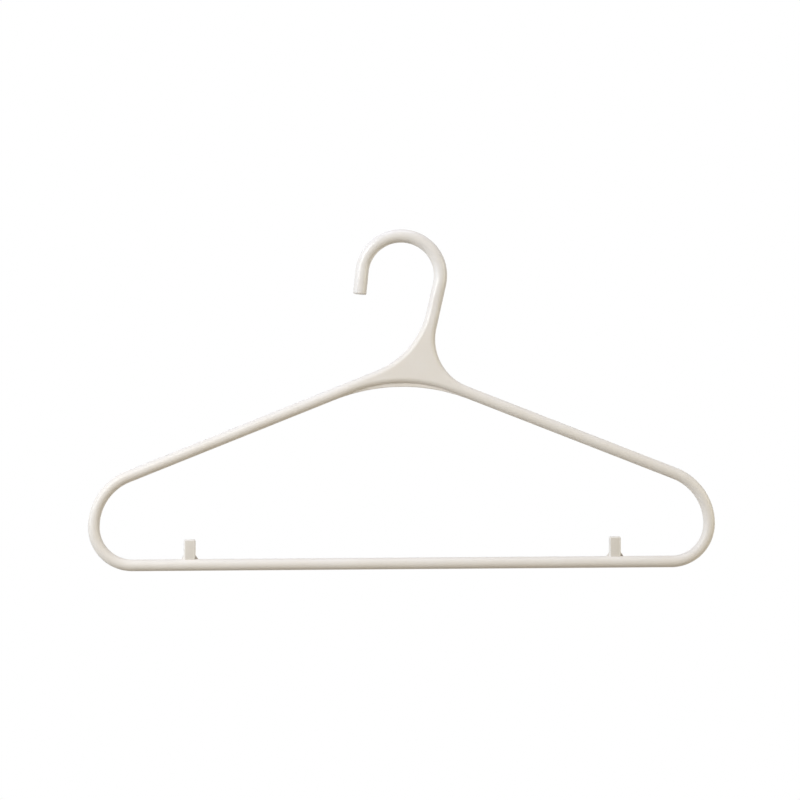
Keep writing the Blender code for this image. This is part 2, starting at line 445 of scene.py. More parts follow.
# %% Find the centre of a fillet
def touching_centre(edge_a, edge_b, radius):
    """The centre of the circle that touches two straight edges from outside.

    An edge is a point on it and the heading of its outward normal.
    """
    (point_a, heading_a), (point_b, heading_b) = edge_a, edge_b
    out_a, out_b = along(heading_a), along(heading_b)
    normals = Matrix(((out_a.x, out_a.z), (out_b.x, out_b.z)))
    reach = Vector((point_a.dot(out_a) + radius, point_b.dot(out_b) + radius))
    x, z = normals.inverted() @ reach
    return Vector((x, 0.0, z))


def draw_fillet(pen, edge_a, edge_b, radius):
    """Draws on along edge_a, round the hollow fillet and onto edge_b."""
    centre = touching_centre(edge_a, edge_b, radius)
    start, sweep = edge_a[1], edge_b[1] - edge_a[1]
    pen.line_to(centre - along(start) * radius)
    pen.arc(centre, sweep)


# %% [markdown]
# ## The edges of the neck
#
# The outline of the neck runs along the tops and undersides of both arms and the two sides of
# the stem, and hollow fillets lead from one into the next. The fillet towards the mouth of the
# hook is wide, the one behind it tighter, and the arch below spans both arms.

# %% Name the edges of the neck
MOUTH_SIDE_FILLET = 0.060
BACK_SIDE_FILLET = 0.036
ARCH_RADIUS = 0.098


def arm_top(side):
    heading = heading_on_side(QUARTER - SLOPE, side)
    return on_side(ARM_START, side) + along(heading) * ROD_RADIUS, heading


def arm_underside(side):
    heading = -QUARTER - side * SLOPE
    return on_side(ARM_START, side) + along(heading) * ROD_RADIUS, heading


def stem_side(heading):
    return STEM_END + along(heading) * HOOK_ROD_RADIUS, heading


stem_back, stem_mouth = stem_side(-STEM_LEAN), stem_side(math.pi - STEM_LEAN)
arch_centre = touching_centre(arm_underside(LEFT), arm_underside(RIGHT), ARCH_RADIUS + SKIN_DEPTH)
arch_crown_z = arch_centre.z + ARCH_RADIUS + SKIN_DEPTH
print(f"the arch rises to {arch_crown_z:.4f}")

# %% [markdown]
# ## The neck web
#
# The web is a plate as thick as the rod, with its edges rounded until only the strip of the
# seam is left of its side wall. Bevel does that in one step, on all edges that run lengthwise
# and not across one of the three ends, which have to stay open for the rods. Its flat front
# and back get a narrow inset before they are shaded smooth. Without it the tilt of the rounded
# edge would bleed across the whole flat.

# %% Make the neck web
EDGE_SEGMENTS = 20
FLAT_MARGIN = 0.00006


def flat_distance(place, point):
    """How far apart two points are, seen from the front."""
    return math.hypot(place.x - point.x, place.z - point.z)


def runs_lengthwise(edge):
    """Whether an edge of a plate lies in its front or back face."""
    return edge.verts[0].co.y * edge.verts[1].co.y > 0


def middle_of(item):
    return sum((vert.co for vert in item.verts), Vector()) / len(item.verts)


def crosses_an_end(item, ends):
    return min(flat_distance(middle_of(item), end) for end in ends) < ROD_RADIUS / 2


def draw_neck():
    pen = Pen(arm_underside(RIGHT)[0])
    pen.line_to(arm_top(RIGHT)[0])
    draw_fillet(pen, arm_top(RIGHT), stem_back, BACK_SIDE_FILLET + SKIN_DEPTH)
    pen.line_to(stem_back[0])
    pen.line_to(stem_mouth[0])
    draw_fillet(pen, stem_mouth, arm_top(LEFT), MOUTH_SIDE_FILLET + SKIN_DEPTH)
    pen.line_to(arm_top(LEFT)[0])
    pen.line_to(arm_underside(LEFT)[0])
    draw_fillet(pen, arm_underside(LEFT), arm_underside(RIGHT), ARCH_RADIUS + SKIN_DEPTH)
    return pen.plate(2 * ROD_RADIUS)


def make_neck():
    bm = draw_neck()
    ends = [STEM_END, ARM_START, on_side(ARM_START, LEFT)]
    rounded = [edge for edge in bm.edges if runs_lengthwise(edge) and not crosses_an_end(edge, ends)]
    round_off(bm, rounded, ROD_RADIUS - SEAM_WIDTH / 2, EDGE_SEGMENTS)
    end_faces = [
        face
        for face in bm.faces
        if len(face.verts) > 4 and abs(middle_of(face).y) < ROD_RADIUS / 2
    ]
    print("ends found on the neck:", len(end_faces))
    bmesh.ops.delete(bm, geom=end_faces, context="FACES_ONLY")
    close_ends(raise_seam(bm))
    flats = sorted(bm.faces, key=lambda face: -face.calc_area())[:2]
    for flat in flats:
        bmesh.ops.inset_region(bm, faces=[flat], thickness=FLAT_MARGIN, use_even_offset=True)
    return bm


neck = finish_piece(make_neck(), "neck_skin", "neck")
report(neck)

# %% [markdown]
# ## The throat rib
#
# Under the arch a thin rib closes the throat of the neck. It stands in the middle plane, is
# much thinner than the web, and its lower edge is a flatter arc. That is why the front shows it
# as a bright sliver under a dark crease. Both arcs touch the undersides of the arms, the flat
# one farther out, so the rib runs on to where its own arc touches and thins out to nothing.
# Its upper edge goes a little way into the web, which hides where the one ends and the other
# begins.

# %% Make the throat rib
RIB_DEPTH = 0.0025
RIB_EDGE_RADIUS = 0.0005
RIB_OVERLAP = 0.0010
RIB_EDGE_SEGMENTS = 5


def make_throat_rib():
    thickness = rib_high.y - rib_low.y
    arch_radius = ARCH_RADIUS + SKIN_DEPTH
    rib_radius = arch_radius + RIB_DEPTH / (1 / math.cos(SLOPE) - 1)
    rib_centre = Vector((0.0, 0.0, arch_crown_z - RIB_DEPTH - rib_radius))
    buried_radius = arch_radius + RIB_OVERLAP
    start = arch_centre + along(QUARTER + SLOPE) * buried_radius
    finish = arch_centre + along(QUARTER - SLOPE) * buried_radius
    run_out = along(-SLOPE) * (rib_radius - arch_radius) * math.tan(SLOPE)
    pen = Pen(on_side(finish + run_out, LEFT))
    pen.line_to(start)
    pen.arc(arch_centre, -2 * SLOPE)
    pen.line_to(finish + run_out)
    spread = math.asin(pen.last.co.x / rib_radius)
    pen.line_to(rib_centre + along(QUARTER - spread) * rib_radius)
    pen.arc(rib_centre, 2 * spread)
    bm = pen.plate(thickness)
    lower = [
        edge
        for edge in bm.edges
        if runs_lengthwise(edge)
        and abs((middle_of(edge) - rib_centre).xz.length - rib_radius) < RIB_OVERLAP / 4
    ]
    round_off(bm, lower, RIB_EDGE_RADIUS, RIB_EDGE_SEGMENTS)
    return bm


throat_rib = finish_piece(make_throat_rib(), "throat_rib_skin", "throat_rib")
report(throat_rib)

# %% [markdown]
# ## The strap pegs
#
# A peg is a small upright block with rounded corners that keeps a strap from sliding off. At
# its root a thin triangular web stiffens it on each side. It could be joined on with a boolean,
# but a few cuts do it with cleaner faces: two cuts mark the thickness of the web on the sides
# of the block and one its height, then the marked faces are extruded and their lower edges
# pulled out along the bar. The foot follows the round of the bar.

# %% Make the strap pegs
PEG_X = (peg_low.x + peg_high.x) / 2
PEG_WIDTH = 0.0084
PEG_EDGE_RADIUS = 0.0012
PEG_EDGE_SEGMENTS = 5
WEB_FLARE = 0.0020
WEB_RISE = 0.0030
WEB_THICKNESS = 0.0013
FOOT_OVERLAP = 0.0001
FACES_SIDEWAYS = 0.9


def cut(bm, point, normal):
    everything = bm.verts[:] + bm.edges[:] + bm.faces[:]
    bmesh.ops.bisect_plane(bm, geom=everything, plane_co=point, plane_no=normal)


def seat_on_bar(bm, floor_z):
    """Drops the lowest points onto the round of the bar."""
    for vert in bm.verts:
        if vert.co.z < floor_z:
            vert.co.z = BAR_Z + math.sqrt(ROD_RADIUS**2 - vert.co.y**2) - FOOT_OVERLAP


def make_strap_peg(side):
    thickness = peg_high.y - peg_low.y
    bar_top = BAR_Z + ROD_RADIUS
    peg_x = side * PEG_X
    height = peg_high.z - SKIN_DEPTH - BAR_Z
    bm = bmesh.new()
    placed = Matrix.Translation((peg_x, 0.0, BAR_Z + height / 2))
    sized = Matrix.Diagonal((PEG_WIDTH, thickness, height, 1.0))
    bmesh.ops.create_cube(bm, size=1.0, matrix=placed @ sized)
    upper = [edge for edge in bm.edges if any(vert.co.z > bar_top for vert in edge.verts)]
    round_off(bm, upper, PEG_EDGE_RADIUS, PEG_EDGE_SEGMENTS)
    for edge_y in (-WEB_THICKNESS / 2, WEB_THICKNESS / 2):
        cut(bm, (peg_x, edge_y, bar_top), (0.0, 1.0, 0.0))
    cut(bm, (peg_x, 0.0, bar_top + WEB_RISE), (0.0, 0.0, 1.0))
    bm.normal_update()
    marked = [
        face
        for face in bm.faces
        if abs(face.normal.x) > FACES_SIDEWAYS
        and abs(middle_of(face).y) < WEB_THICKNESS / 2
        and middle_of(face).z < bar_top + WEB_RISE
    ]
    for web in bmesh.ops.extrude_discrete_faces(bm, faces=marked)["faces"]:
        outwards = math.copysign(WEB_FLARE, middle_of(web).x - peg_x)
        foot = [vert for vert in web.verts if vert.co.z < bar_top]
        bmesh.ops.translate(bm, vec=(outwards, 0.0, 0.0), verts=foot)
    bmesh.ops.remove_doubles(bm, verts=bm.verts, dist=SKIN_DEPTH / 10)
    seat_on_bar(bm, bar_top - ROD_RADIUS / 2)
    return bm


pegs = [
    finish_piece(make_strap_peg(side), word + "_peg_skin", word + "_strap_peg")
    for word, side in SIDES
]
for piece in pegs:
    report(piece)

# %% [markdown]
# ## Wiring a finish
#
# A finish is a small program made of shader nodes. Placing and wiring them by hand in the
# editor is quick, but it can't be read afterwards. These helpers do it in a line each: add
# places a node and fills its inputs by name, calculate gives the result of one sum, smooth
# turns a value into a soft mask between 0 and 1, and distance_to tells how far off a point is.

# %% Helpers for nodes
def feed(tree, socket, value):
    """Links a socket to an output of another node, or sets it to a plain value."""
    if isinstance(value, bpy.types.NodeSocket):
        tree.links.new(value, socket)
    else:
        socket.default_value = value


def add(tree, kind, options=None, **values):
    """Adds a shader node, sets its options and feeds its inputs."""
    node = tree.nodes.new("ShaderNode" + kind)
    for option, choice in (options or {}).items():
        setattr(node, option, choice)
    for label, value in values.items():
        feed(tree, node.inputs[label.replace("_", " ")], value)
    return node


def calculate(tree, operation, *values):
    node = add(tree, "Math", {"operation": operation})
    for socket, value in zip(node.inputs, values):
        feed(tree, socket, value)
    return node.outputs["Value"]


def smooth(tree, value, off_at, full_at):
    """A mask that is 0 at one value and 1 at the other, with soft ends."""
    soft = {"interpolation_type": "SMOOTHSTEP"}
    return add(tree, "MapRange", soft, Value=value, From_Min=off_at, From_Max=full_at).outputs["Result"]


def blend(tree, share, first, second):
    """The first number where share is 0, the second where it is 1."""
    return calculate(tree, "MULTIPLY_ADD", share, second - first, first)


def mix_colours(tree, share, first, second):
    node = add(tree, "Mix", {"data_type": "RGBA"})
    colour_sockets = [socket for socket in node.inputs if socket.type == "RGBA"]
    feed(tree, node.inputs["Factor"], share)
    feed(tree, colour_sockets[0], first)
    feed(tree, colour_sockets[1], second)
    return next(socket for socket in node.outputs if socket.type == "RGBA")


def place_on_object(tree):
    """Where a point lies on the hanger, in metres."""
    return add(tree, "TexCoord").outputs["Object"]


def distance_to(tree, place, point):
    away = add(tree, "VectorMath", {"operation": "DISTANCE"}, Vector=place)
    away.inputs[1].default_value = point
    return away.outputs["Value"]


# %% Helpers for node groups
def start_group(name, inputs, outputs):
    """A node group with named sockets, and its own input and output nodes."""
    group = bpy.data.node_groups.new(name, "ShaderNodeTree")
    for label, value in inputs.items():
        kind = "NodeSocketColor" if isinstance(value, tuple) else "NodeSocketFloat"
        socket = group.interface.new_socket(label, in_out="INPUT", socket_type=kind)
        socket.default_value = value
    for label, kind in outputs.items():
        group.interface.new_socket(label, in_out="OUTPUT", socket_type="NodeSocket" + kind)
    return group, group.nodes.new("NodeGroupInput").outputs, group.nodes.new("NodeGroupOutput").inputs


def use_group(tree, group, **values):
    node = tree.nodes.new("ShaderNodeGroup")
    node.node_tree = group
    for label, value in values.items():
        feed(tree, node.inputs[label.replace("_", " ")], value)
    return node.outputs


# %% [markdown]
# ## The skin of the mould
#
# The steel of the mould is blasted to a fine satin, and the plastic copies it: a grain of a
# few tenths of a millimetre, a few thousandths deep. As the thick rod cools it also shrinks
# unevenly, so its surface undulates over a centimetre or so, which makes highlights wander a
# little. Both are noise at their real size, put out as a height in metres, so that one Bump
# node with a distance of one metre shows them at their true depth.

# %% Group: mould grain
NOISE_MIDDLE = 0.5


def noise(tree, place, size, detail=2.0, roughness=0.5, distortion=0.0):
    """Noise between 0 and 1 whose patches are about size across."""
    node = add(tree, "TexNoise", Vector=place, Detail=detail, Roughness=roughness)
    node.inputs["Distortion"].default_value = distortion
    feed(tree, node.inputs["Scale"], calculate(tree, "DIVIDE", 1.0, size))
    return node.outputs["Fac"]


def make_mould_grain():
    inputs = {
        "Grain Size": 0.0004,
        "Grain Depth": 0.000003,
        "Wave Size": 0.012,
        "Wave Depth": 0.00003,
    }
    group, given, result = start_group("mould_grain", inputs, {"Height": "Float"})
    place = place_on_object(group)
    layers = []
    for word in ("Grain", "Wave"):
        patches = noise(group, place, given[word + " Size"])
        level = calculate(group, "SUBTRACT", patches, NOISE_MIDDLE)
        layers.append(calculate(group, "MULTIPLY", level, given[word + " Depth"]))
    feed(group, result["Height"], calculate(group, "ADD", *layers))
    return group


mould_grain = make_mould_grain()
print("group:", mould_grain.name, [item.name for item in mould_grain.interface.items_tree])

# %% [markdown]
# ## How the colour varies
#
# The pellets are coloured through, so nothing is painted on, but the pigment isn't spread
# quite evenly. It leaves clouds a few centimetres long where the melt ran, paler and cooler
# than the rest by a few hundredths. A mix between two ivories by a soft noise gives them. The
# difference has to stay below what the eye would call a stain.

# %% Group: flow tone
PLAIN_GREY = (0.8, 0.8, 0.8, 1.0)
CLOUD_START, CLOUD_FULL = 0.35, 0.68


def make_flow_tone():
    inputs = {"Ivory": PLAIN_GREY, "Cloud": PLAIN_GREY, "Cloud Size": 0.035}
    group, given, result = start_group("flow_tone", inputs, {"Colour": "Color"})
    clouds = noise(group, place_on_object(group), given["Cloud Size"], detail=3.0, distortion=0.6)
    share = smooth(group, clouds, CLOUD_START, CLOUD_FULL)
    feed(group, result["Colour"], mix_colours(group, share, given["Ivory"], given["Cloud"]))
    return group


flow_tone = make_flow_tone()
print("group:", flow_tone.name, [item.name for item in flow_tone.interface.items_tree])

# %% [markdown]
# ## Marks of making and of use
#
# The raised parting line is rubbed by every garment that passes over it, so it is a touch
# paler than the skin beside it. Cloth and hands also leave fine hairlines across the rods,
# which only show as changes of gloss. The line follows from the distance to the middle plane.
# The hairlines are a fine noise that a Mapping node draws out in depth and height.
#
# A hanger is taken by its hook, and hands polish plastic. So the hook is glossier than the rest,
# and the gloss fades out on the upper neck. A mask by height does that, and the same mask paints
# the top paler and cooler, as painted light from above. Two materials that met at the end of the
# stem would show a step, where the real moulding has none.

# %% Groups: parting line, hairlines, and polish with painted top light
LINE_FADE = 2.0
HAIRLINE_SCALE = (1.0, 0.03, 0.03)
HAIRLINE_START, HAIRLINE_FULL = 0.62, 0.78
POLISH_AND_LIGHT_REACH, FULL_POLISH_AND_LIGHT_REACH = 0.024, 0.002


def make_parting_line():
    group, given, result = start_group("parting_line", {"Half Width": 0.00016}, {"Mask": "Float"})
    parts = add(group, "SeparateXYZ", Vector=place_on_object(group)).outputs
    across = calculate(group, "DIVIDE", calculate(group, "ABSOLUTE", parts["Y"]), given["Half Width"])
    feed(group, result["Mask"], smooth(group, across, LINE_FADE, 1.0))
    return group


def make_hairlines():
    group, given, result = start_group("hairlines", {"Spacing": 0.0002}, {"Mask": "Float"})
    drawn = add(group, "Mapping", Vector=place_on_object(group))
    drawn.inputs["Scale"].default_value = HAIRLINE_SCALE
    strokes = noise(group, drawn.outputs["Vector"], given["Spacing"], detail=1.0)
    feed(group, result["Mask"], smooth(group, strokes, HAIRLINE_START, HAIRLINE_FULL))
    return group


def make_polish_and_top_light():
    """Polish and painted top light, by height, measured downwards from the end of the stem."""
    reach = {"Lowest": STEM_END.z - POLISH_AND_LIGHT_REACH, "Full": STEM_END.z - FULL_POLISH_AND_LIGHT_REACH}
    group, given, result = start_group("polish_and_top_light", reach, {"Mask": "Float"})
    height = add(group, "SeparateXYZ", Vector=place_on_object(group)).outputs["Z"]
    feed(group, result["Mask"], smooth(group, height, given["Lowest"], given["Full"]))
    return group


parting_line = make_parting_line()
hairlines = make_hairlines()
polish_and_top_light = make_polish_and_top_light()
print("groups:", ", ".join(group.name for group in bpy.data.node_groups))

# %% [markdown]
# ## Marks on the back of the web
#
# The moulding sticks to the half of the mould that shapes its back. Pins push it out there while
# it is still warm and leave round dents, and the plastic comes in there too, through a gate that
# breaks off in a shallow dimple and leaves a stub in it. They are a tenth or two of a millimetre
# deep, which is too little to be worth cutting, so they are heights for the Bump node. Each is a
# disc round a place on the web, and the discs are added up and kept off the front.

# %% Group: marks on the back
GATE_X, GATE_Z = 0.0120, -0.0880
GATE_RADIUS, GATE_DENT = 0.0018, -0.00020
STUB_RADIUS, STUB_RISE = 0.0006, 0.00030
PIN_RADIUS, PIN_DENT = 0.0022, -0.00010
BACK_MARKS = (
    (0.0160, -0.0785, PIN_RADIUS, PIN_DENT),
    (0.0195, -0.0945, PIN_RADIUS, PIN_DENT),
    (0.0060, -0.0940, PIN_RADIUS, PIN_DENT),
    (GATE_X, GATE_Z, GATE_RADIUS, GATE_DENT),
    (GATE_X, GATE_Z, STUB_RADIUS, STUB_RISE),
)
MARK_EDGE = 0.00012


def make_back_marks():
    group, given, result = start_group("back_marks", {"Strength": 1.0}, {"Height": "Float"})
    place = place_on_object(group)
    back_y = add(group, "SeparateXYZ", Vector=place).outputs["Y"]
    height = 0.0
    for centre_x, centre_z, radius, step in BACK_MARKS:
        away = distance_to(group, place, (centre_x, ROD_RADIUS, centre_z))
        disc = smooth(group, away, radius + MARK_EDGE, radius - MARK_EDGE)
        height = calculate(group, "MULTIPLY_ADD", disc, step, height)
    on_back = calculate(group, "GREATER_THAN", back_y, ROD_RADIUS / 2)
    strength = calculate(group, "MULTIPLY", on_back, given["Strength"])
    feed(group, result["Height"], calculate(group, "MULTIPLY", height, strength))
    return group


back_marks = make_back_marks()
print("marks on the back:", len(BACK_MARKS))

# %% [markdown]
# ## Ivory plastic
#
# All pieces are one moulding, so they share one recipe, and its patterns run on from piece to
# piece because they read the place on the hanger. Polypropylene refracts at 1.49, but a blasted
# skin gives back less of a clear reflection than a clean one, so 1.42 looks truer. The frame
# is neither dull nor wet, with a roughness near 0.4. Where hands polish it, it is glossier; the
# same mask makes the top a touch paler and cooler, which is painted light from above. The pegs
# get a darker copy of the ivory, which is painted shade, and their rounded sides and tops are
# made paler, which is painted light.
#
# Three places differ. Plastic entered the mould at the web and left a faint bloom round that
# spot, the rail polishes the inside of the crown of the hook, and the corner to the right of each
# peg is darkened to a brown, which is painted shade. Each is a spot with a colour and a
# roughness of its own that fades out well before the piece ends.

# %% Tones and gloss of the plastic
IVORY = ((0.815, 0.764, 0.713, 1.0), (0.830, 0.785, 0.742, 1.0))
# painted light: a paler, cooler ivory that the height mask gives the top of the hanger
TOP_LIGHT_IVORY = ((0.822, 0.780, 0.747, 1.0), (0.837, 0.802, 0.773, 1.0))
# painted shade: a darker copy of the ivory for the pegs
PEG_SHADED_IVORY = ((0.715, 0.662, 0.600, 1.0), (0.728, 0.681, 0.624, 1.0))
# paler ivory for the worn parting line, and painted light on the pegs' edges
RUBBED_AND_LIT_IVORY = (0.852, 0.818, 0.782, 1.0)
RUBBED_SHARE = 0.35
SATIN, POLISHED, DULL = (0.34, 0.42), (0.17, 0.24), (0.44, 0.52)
UNEVEN_SIZE = 0.006
HAIRLINE_DULLING = 0.07
PLASTIC_IOR = 1.42
print(f"roughness {SATIN} as moulded, {POLISHED} where polished, {DULL} on the pegs")


# %% Make the plastic
def surface_roughness(tree, place, low, high):
    """A roughness that varies over a few millimetres and is duller on hairlines."""
    uneven = noise(tree, place, UNEVEN_SIZE, detail=4.0)
    level = add(tree, "MapRange", Value=uneven, To_Min=low, To_Max=high)
    scratched = calculate(tree, "MULTIPLY", use_group(tree, hairlines)["Mask"], HAIRLINE_DULLING)
    return calculate(tree, "ADD", level.outputs["Result"], scratched)


def make_plastic(name, tones, gloss, spot=None, marks=None, edges=None):
    """Ivory plastic of two tones and a range of roughness, glossier where handled and paler there as
    painted light.

    spot holds three things: the function that masks a place, and the colour and the roughness
    there. marks is a group of heights, and edges the function that masks the rounded peg edges
    that are made paler as painted light.
    """
    material = bpy.data.materials.new(name)
    material.use_nodes = True
    tree = material.node_tree
    shader = tree.nodes["Principled BSDF"]
    shader.inputs["IOR"].default_value = PLASTIC_IOR
    place = place_on_object(tree)
    # this mask sets the real gloss of handling and the painted light at the top
    polish_and_light = use_group(tree, polish_and_top_light)["Mask"]
    ivory, cloud = (mix_colours(tree, polish_and_light, *pair) for pair in zip(tones, TOP_LIGHT_IVORY))
    low, high = (blend(tree, polish_and_light, *pair) for pair in zip(gloss, POLISHED))
    colour = use_group(tree, flow_tone, Ivory=ivory, Cloud=cloud)["Colour"]
    rubbed_and_lit = calculate(tree, "MULTIPLY", use_group(tree, parting_line)["Mask"], RUBBED_SHARE)
    # edges adds painted light: the pegs' rounded sides and tops turn paler
    if edges:
        rubbed_and_lit = calculate(tree, "MAXIMUM", rubbed_and_lit, edges(tree, place))
    colour = mix_colours(tree, rubbed_and_lit, colour, RUBBED_AND_LIT_IVORY)
    roughness = surface_roughness(tree, place, low, high)
    if spot:
        mask_of_spot, spot_colour, spot_roughness = spot
        mask = mask_of_spot(tree, place)
        colour = mix_colours(tree, mask, colour, spot_colour)
        change = calculate(tree, "SUBTRACT", spot_roughness, roughness)
        roughness = calculate(tree, "MULTIPLY_ADD", mask, change, roughness)
    feed(tree, shader.inputs["Base Color"], colour)
    feed(tree, shader.inputs["Roughness"], roughness)
    height = use_group(tree, mould_grain)["Height"]
    if marks:
        height = calculate(tree, "ADD", height, use_group(tree, marks)["Height"])
    bump = add(tree, "Bump", Distance=1.0, Height=height)
    feed(tree, shader.inputs["Normal"], bump.outputs["Normal"])
    return material


# %% Mask the gate, the rail seat and the pegs
BLOOM_RADIUS, BLOOM_PATCH, BLOOM_ROUGHNESS = 0.014, 0.005, 0.30
SEAT_HALF_LENGTH, SEAT_DEPTH, SEAT_SHARE = 0.013, 0.0035, 0.6
SEAT_IVORY, SEAT_ROUGHNESS = (0.764, 0.728, 0.688, 1.0), 0.13
# painted shade in the corner to the right of each peg, where the peg shades the bar
PEG_SHADE_REACH, PEG_SHADE_CORE = 0.0028, 0.0008
PEG_SHADE_BROWN, PEG_SHADE_ROUGHNESS = (0.36, 0.32, 0.28, 1.0), 0.60
# painted light: paler rounded sides and tops of the pegs
EDGE_FADE, EDGE_SHARE = 0.0003, 0.9


def gate_bloom(tree, place):
    """An uneven haze round the place where the plastic came in."""
    flat = add(tree, "VectorMath", {"operation": "MULTIPLY"}, Vector=place)
    flat.inputs[1].default_value = (1.0, 0.0, 1.0)
    away = distance_to(tree, flat.outputs["Vector"], (GATE_X, 0.0, GATE_Z))
    fade = smooth(tree, away, BLOOM_RADIUS, 0.0)
    patchy = noise(tree, place, BLOOM_PATCH, detail=3.0, distortion=1.0)
    return calculate(tree, "MULTIPLY", fade, patchy)


def rail_seat(tree, place):
    """The inside of the crown, where the hook hangs on its rail."""
    parts = add(tree, "SeparateXYZ", Vector=place).outputs
    sideways = smooth(tree, calculate(tree, "ABSOLUTE", parts["X"]), SEAT_HALF_LENGTH, 0.0)
    low = smooth(tree, parts["Z"], SEAT_DEPTH, 0.0)
    return calculate(tree, "MULTIPLY", calculate(tree, "MULTIPLY", sideways, low), SEAT_SHARE)


def peg_corner_shade(tree, place):
    """Painted shade: the corner between the bar and the right side of each peg."""
    corners = []
    for side in (LEFT, RIGHT):
        corner_x = side * PEG_X + PEG_WIDTH / 2 + WEB_FLARE / 4
        away = distance_to(tree, place, (corner_x, 0.0, BAR_Z + ROD_RADIUS))
        corners.append(smooth(tree, away, PEG_SHADE_REACH, PEG_SHADE_CORE))
    return calculate(tree, "MAXIMUM", *corners)


def painted_peg_edge_light(tree, place):
    """Painted light: the rounded sides and top of each peg, made paler."""
    parts = add(tree, "SeparateXYZ", Vector=place).outputs
    beside = calculate(tree, "SUBTRACT", calculate(tree, "ABSOLUTE", parts["X"]), PEG_X)
    beside = calculate(tree, "ABSOLUTE", beside)
    flat_reach = PEG_WIDTH / 2 - PEG_EDGE_RADIUS
    flat_top = peg_high.z - PEG_EDGE_RADIUS
    sides = smooth(tree, beside, flat_reach - EDGE_FADE, flat_reach + EDGE_FADE)
    top = smooth(tree, parts["Z"], flat_top - EDGE_FADE, flat_top + EDGE_FADE)
    return calculate(tree, "MULTIPLY", calculate(tree, "MAXIMUM", sides, top), EDGE_SHARE)


# %% Dress the pieces
frame_plastic = make_plastic("ivory_plastic_frame", IVORY, SATIN)
bloom = (gate_bloom, IVORY[1], BLOOM_ROUGHNESS)
seat = (rail_seat, SEAT_IVORY, SEAT_ROUGHNESS)
# the pegs' spot is painted shade in the corner to the right of each peg
peg_shade_spot = (peg_corner_shade, PEG_SHADE_BROWN, PEG_SHADE_ROUGHNESS)
neck_plastic = make_plastic("ivory_plastic_neck", IVORY, SATIN, bloom, marks=back_marks)
hook_plastic = make_plastic("ivory_plastic_hook", IVORY, SATIN, seat)
# the pegs' plastic carries painted shade in its tone and corners, and painted light on its edges
peg_plastic = make_plastic("ivory_plastic_pegs", PEG_SHADED_IVORY, DULL, peg_shade_spot, edges=painted_peg_edge_light)

for piece in (bottom_bar, *arms, *end_bends):
    piece.data.materials.append(frame_plastic)
for piece in pegs:
    piece.data.materials.append(peg_plastic)
for piece in (neck, throat_rib):
    piece.data.materials.append(neck_plastic)
hook.data.materials.append(hook_plastic)
print("materials:", ", ".join(material.name for material in bpy.data.materials))

# %% [markdown]
# ## The studio
#
# The hanger was photographed on pure white. The white comes from the world as the camera sees
# it, not from more light: the same world lights the object far more gently. Glossy rays see
# the white too, so the sheen at the edges of the rods is the background's.

# %% World
WHITE = (1.0, 1.0, 1.0, 1.0)
FILL_COLOUR = (1.0, 0.99, 0.94, 1.0)
FILL_STRENGTH = 0.15


def white_to(tree):
    """1 for the rays that see white, which are camera, glossy and transmission rays."""
    path = add(tree, "LightPath").outputs
    seen = calculate(tree, "MAXIMUM", path["Is Camera Ray"], path["Is Glossy Ray"])
    return calculate(tree, "MAXIMUM", seen, path["Is Transmission Ray"])


def white_world():
    world = bpy.data.worlds.new("studio")
    world.use_nodes = True
    tree = world.node_tree
    fill = tree.nodes["Background"]
    fill.inputs["Color"].default_value = FILL_COLOUR
    fill.inputs["Strength"].default_value = FILL_STRENGTH
    seen = add(tree, "Background", Color=WHITE, Strength=1.0)
    mixed = add(tree, "MixShader", Fac=white_to(tree))
    feed(tree, mixed.inputs[1], fill.outputs["Background"])
    feed(tree, mixed.inputs[2], seen.outputs["Background"])
    feed(tree, tree.nodes["World Output"].inputs["Surface"], mixed.outputs["Shader"])
    bpy.context.scene.world = world
    return world


studio = white_world()
print("world:", studio.name)

# %% [markdown]
# ## The floor
#
# A pale floor lies well below the hanger, which hangs free. It is a round sheet that keeps the
# hanger's soft shadow in its middle and fades into the white of the world towards its rim, so
# that no view shows an edge. The fade goes by the distance from the hook's seat. What the floor
# throws back up is warm, as from unbleached paper.

# %% Lay the floor
FLOOR_Z = -0.75
FLOOR_RADIUS = 2.6
FLOOR_SEGMENTS = 96
FLOOR_COLOUR = (0.40, 0.35, 0.27, 1.0)
FLOOR_ROUGHNESS = 0.9
FADE_FROM, FADE_TO = 0.3, 2.0
LEAST_WHITE = 0.55


def floor_material():
    material = bpy.data.materials.new("pale_floor")
    material.use_nodes = True
    tree = material.node_tree
    paper = tree.nodes["Principled BSDF"]
    paper.inputs["Base Color"].default_value = FLOOR_COLOUR
    paper.inputs["Roughness"].default_value = FLOOR_ROUGHNESS
    away = distance_to(tree, place_on_object(tree), (0.0, 0.0, 0.0))
    fade = smooth(tree, away, FADE_FROM, FADE_TO)
    whiteness = calculate(tree, "MULTIPLY_ADD", fade, 1.0 - LEAST_WHITE, LEAST_WHITE)
    white = add(tree, "Emission", Color=WHITE, Strength=1.0)
    mixed = add(tree, "MixShader", Fac=calculate(tree, "MULTIPLY", whiteness, white_to(tree)))
    feed(tree, mixed.inputs[1], paper.outputs["BSDF"])
    feed(tree, mixed.inputs[2], white.outputs["Emission"])
    feed(tree, tree.nodes["Material Output"].inputs["Surface"], mixed.outputs["Shader"])
    return material


def lay_floor():
    bm = bmesh.new()
    lowered = Matrix.Translation((0.0, 0.0, FLOOR_Z))
    bmesh.ops.create_circle(
        bm, cap_ends=True, segments=FLOOR_SEGMENTS, radius=FLOOR_RADIUS, matrix=lowered
    )
    mesh = bpy.data.meshes.new("floor")
    bm.to_mesh(mesh)
    bm.free()
    mesh.materials.append(floor_material())
    sheet = bpy.data.objects.new("floor", mesh)
    bpy.context.scene.collection.objects.link(sheet)
    return sheet


floor = lay_floor()
print(f"floor {2 * FLOOR_RADIUS:.1f} m across, {BAR_Z - FLOOR_Z:.2f} m below the bar")

